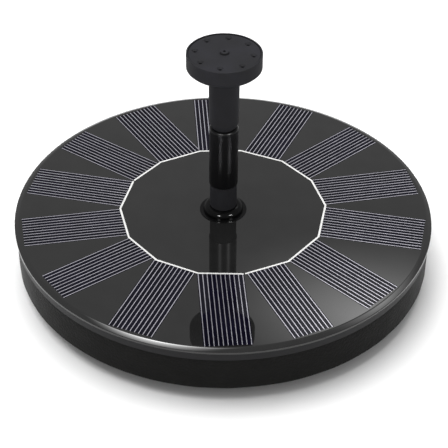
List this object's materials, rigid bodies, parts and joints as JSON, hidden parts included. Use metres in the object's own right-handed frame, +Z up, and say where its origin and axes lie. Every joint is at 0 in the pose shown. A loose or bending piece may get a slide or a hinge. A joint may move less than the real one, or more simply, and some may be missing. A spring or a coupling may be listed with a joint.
{
  "type": "floating solar fountain pump",
  "caption": "Round solar panel on a foam float ring with a submerged brushless pump under its centre and a push-on riser and spray head above the outlet.",
  "frame": {"origin": "centre of the strainer's underside, on the surface that the pump stands on", "axes": "+Z up along the spray nozzle, -Y towards the front, +X to the right"},
  "size_m": [0.16, 0.16, 0.0949],
  "materials": {
    "eva_foam": "closed-cell foam, skived matt",
    "tray_abs": "satin moulded",
    "circuit_board": "solder-masked glass epoxy",
    "solder": "bright solder",
    "black_resin": "poured resin, mirror gloss",
    "solar_cell": "silicon under clear resin",
    "tinned_ribbon": "tinned copper under clear resin",
    "pump_abs": "moulded",
    "strainer_abs": "moulded, fine texture",
    "ceramic": "ground alumina",
    "silicon_steel": "stacked laminations",
    "nylon": "moulded natural nylon",
    "enamelled_copper": "enamelled winding",
    "chip_epoxy": "moulded epoxy",
    "capacitor_sleeve": "shrink sleeve",
    "red_insulation": "extruded",
    "black_insulation": "extruded",
    "potting_resin": "poured resin",
    "stainless_steel": "bright",
    "collar_rubber": "glossy moulded",
    "impeller_acetal": "moulded acetal",
    "ferrite": "sintered and ground",
    "seal_rubber": "moulded",
    "nozzle_pp": "spark-eroded matt",
    "riser_abs": "polished mould"
  },
  "bodies": {
    "root": {"foam_ring": "eva_foam", "float_tray": "tray_abs", "panel_board": "circuit_board", "solder_joints": "solder", "panel_face": "black_resin", "solar_cells": "solar_cell", "bus_ribbons": "tinned_ribbon", "pump_body": "pump_abs", "rotor_shaft": "ceramic", "stator_core": "silicon_steel", "coil_bobbins": "nylon", "stator_coils": "enamelled_copper", "hall_sensor": "chip_epoxy", "driver_board": "circuit_board", "driver_chip": "chip_epoxy", "chip_leads": "solder", "smoothing_capacitor": "capacitor_sleeve", "reverse_diode": "chip_epoxy", "lead_wire_red": "red_insulation", "lead_wire_black": "black_insulation", "potting_layer": "potting_resin", "flange_screws": "stainless_steel", "collar_ring": "collar_rubber"},
    "rotor": {"impeller": "impeller_acetal", "rotor_magnet": "ferrite", "thrust_washers": "ceramic"},
    "volute_cover": {"volute_cover": "pump_abs", "cover_seal": "seal_rubber", "lower_bush": "ceramic"},
    "strainer": {"strainer_cover": "strainer_abs"},
    "sleeve": {"nozzle_sleeve": "nozzle_pp"},
    "riser": {"riser_tube": "riser_abs"},
    "spray_head": {"spray_head_body": "nozzle_pp", "spray_plate": "nozzle_pp"}
  },
  "joints": [
    {"name": "rotor_spin", "type": "hinge", "parent": "root", "child": "rotor", "pos_m": [-0.016, 0.0085, 0], "axis": [0, 0, 1], "continuous": true},
    {"name": "cover_twist", "type": "hinge", "parent": "root", "child": "volute_cover", "pos_m": [-0.016, 0.0085, 0], "axis": [0, 0, 1], "range_deg": [0, 22]},
    {"name": "strainer_pull", "type": "slide", "parent": "root", "child": "strainer", "axis": [0, 0, -1], "range_m": [0, 0.02]},
    {"name": "nozzle_swivel", "type": "hinge", "parent": "root", "child": "sleeve", "pos_m": [0, 0, 0.03], "axis": [0, 0, 1], "continuous": true},
    {"name": "riser_pull", "type": "slide", "parent": "sleeve", "child": "riser", "axis": [0, 0, 1], "range_m": [0, 0.008]},
    {"name": "head_pull", "type": "slide", "parent": "riser", "child": "spray_head", "axis": [0, 0, 1], "range_m": [0, 0.008]}
  ]
}
